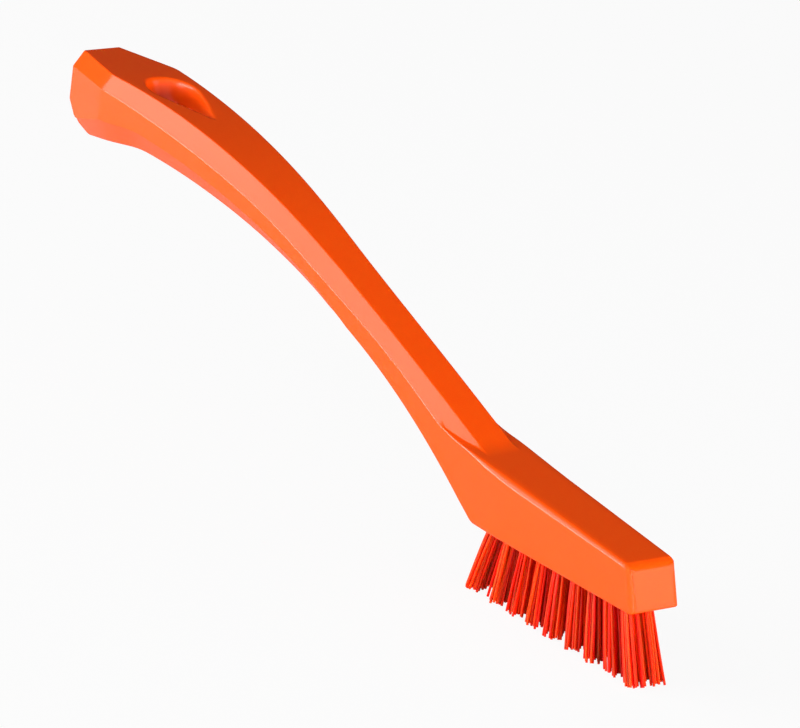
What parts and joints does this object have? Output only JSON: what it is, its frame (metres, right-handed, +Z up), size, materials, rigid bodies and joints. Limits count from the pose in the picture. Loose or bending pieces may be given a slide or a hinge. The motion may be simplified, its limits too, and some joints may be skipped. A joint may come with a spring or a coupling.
{
  "type": "grout brush",
  "caption": "Narrow one-piece plastic grout brush with an arched faceted handle, a teardrop hanging hole and two rows of stiff fanned tufts.",
  "frame": {"origin": "under the middle of the overall length, on the centre plane, at the level of the trimmed bristle tips", "axes": "+X from the butt to the tip of the brush block, +Y to the far side, +Z up from the bristle tips to the handle"},
  "size_m": [0.2068, 0.0218, 0.0672],
  "materials": {
    "handle": "glossy injection-moulded orange polypropylene",
    "bristle": "satin extruded orange-red polyester filament",
    "anchor": "bright drawn flat steel wire"
  },
  "bodies": {
    "root": {"handle_body": "handle", "tuft_1_1": "bristle", "tuft_1_2": "bristle", "tuft_1_3": "bristle", "tuft_1_4": "bristle", "tuft_1_5": "bristle", "tuft_1_6": "bristle", "tuft_1_7": "bristle", "tuft_1_8": "bristle", "tuft_1_9": "bristle", "tuft_2_1": "bristle", "tuft_2_2": "bristle", "tuft_2_3": "bristle", "tuft_2_4": "bristle", "tuft_2_5": "bristle", "tuft_2_6": "bristle", "tuft_2_7": "bristle", "tuft_2_8": "bristle", "tuft_2_9": "bristle", "tuft_anchors": "anchor"}
  },
  "joints": []
}
